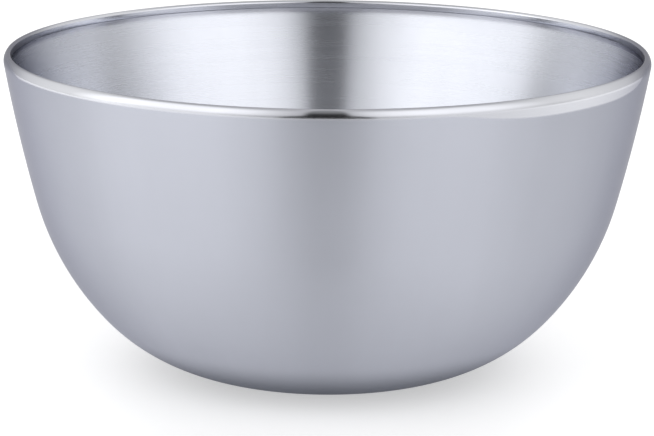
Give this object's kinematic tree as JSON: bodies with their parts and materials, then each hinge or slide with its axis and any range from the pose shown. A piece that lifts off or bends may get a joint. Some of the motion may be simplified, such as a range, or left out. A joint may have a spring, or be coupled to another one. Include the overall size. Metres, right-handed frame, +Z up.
{
  "type": "shaving bowl",
  "caption": "Round double-walled steel bowl with a rolled lip and an open top, for whipping up shaving lather with a brush.",
  "frame": {"origin": "centre of the plane that the bowl stands on", "axes": "+Z up along the bowl's axis of symmetry, towards its open mouth; X and Y are any two level directions"},
  "size_m": [0.12, 0.12, 0.06],
  "materials": {
    "polished_steel": "softly polished",
    "brushed_steel": "fine brushing that runs around the bowl",
    "sealant": "matte"
  },
  "bodies": {
    "root": {"outer_shell": "polished_steel", "inner_shell": "brushed_steel", "seam_seal": "sealant"}
  },
  "joints": []
}
